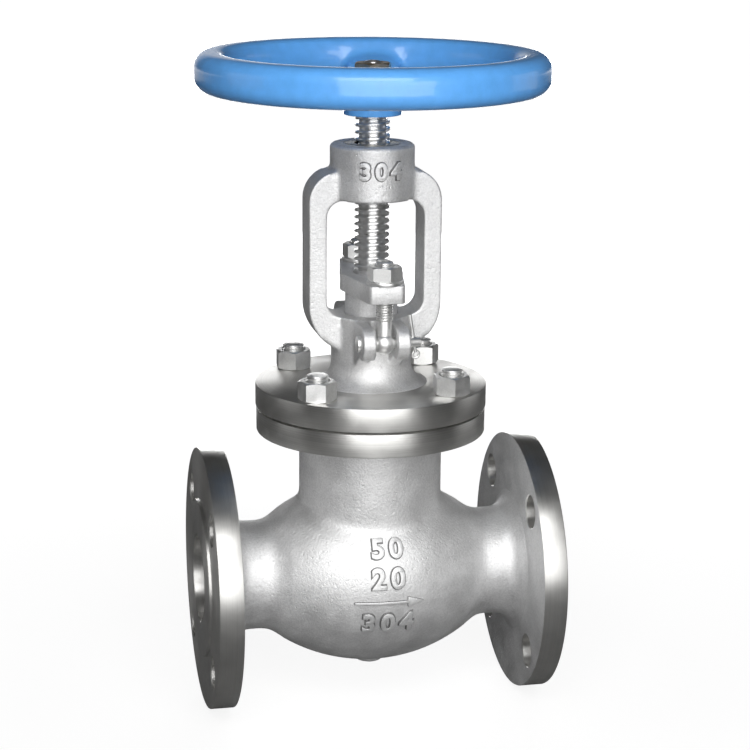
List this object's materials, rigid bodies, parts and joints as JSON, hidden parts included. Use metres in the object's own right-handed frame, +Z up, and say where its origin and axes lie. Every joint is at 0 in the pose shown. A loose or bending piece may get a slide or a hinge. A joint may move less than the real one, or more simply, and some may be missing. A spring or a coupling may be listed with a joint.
{
  "type": "globe valve",
  "caption": "Flanged globe valve with a bolted bonnet, open yoke, gland with hinged bolts and a handwheel whose turning raises the stem and disc off the seat.",
  "frame": {"origin": "centre of the inlet raised face, on the pipe axis", "axes": "+X along the flow from inlet to outlet, +Z up the stem towards the handwheel"},
  "size_m": [0.203, 0.2, 0.379],
  "materials": {
    "cast_steel": "sandblasted stainless casting with turned flange faces",
    "turned_steel": "turned stainless",
    "bright_steel": "bright machined stainless",
    "nut_steel": "warm tinted stainless",
    "bronze": "turned bronze",
    "graphite": "matt graphite",
    "blue_paint": "gloss sky-blue paint on cast iron"
  },
  "bodies": {
    "valve": {"valve_body": "cast_steel", "inlet_end_flange": "turned_steel", "outlet_end_flange": "turned_steel", "body_neck": "cast_steel", "body_top_flange": "turned_steel", "seat_ring": "turned_steel", "bonnet_gasket": "graphite", "bonnet": "cast_steel", "backseat_bush": "bronze", "bonnet_studs": "bright_steel", "bonnet_nuts": "bright_steel", "packing_washer": "turned_steel", "packing_rings": "graphite", "gland_follower": "cast_steel", "gland_flange": "cast_steel", "eye_bolt_front": "bright_steel", "eye_bolt_rear": "bright_steel", "hinge_pin_front": "bright_steel", "hinge_pin_rear": "bright_steel", "cotter_front": "bright_steel", "cotter_rear": "bright_steel", "gland_washers": "bright_steel", "gland_nuts": "bright_steel", "stem_nut": "bronze"},
    "disc_assembly": {"disc": "turned_steel", "disc_thrust_ring": "bronze", "disc_nut": "turned_steel"},
    "stem_and_wheel": {"stem": "turned_steel", "handwheel": "blue_paint", "wheel_washer": "bright_steel", "wheel_nut": "nut_steel"}
  },
  "joints": [
    {"name": "stem_lift", "type": "slide", "parent": "valve", "child": "disc_assembly", "axis": [0, 0, 1], "range_m": [0, 0.016]},
    {"name": "wheel_spin", "type": "hinge", "parent": "disc_assembly", "child": "stem_and_wheel", "pos_m": [0.1015, 0, 0], "axis": [0, 0, 1], "range_deg": [0, 1440]}
  ],
  "couplings": [
    {"joint": "stem_lift", "follows": "wheel_spin", "m_per_rad": 0.00063662}
  ]
}
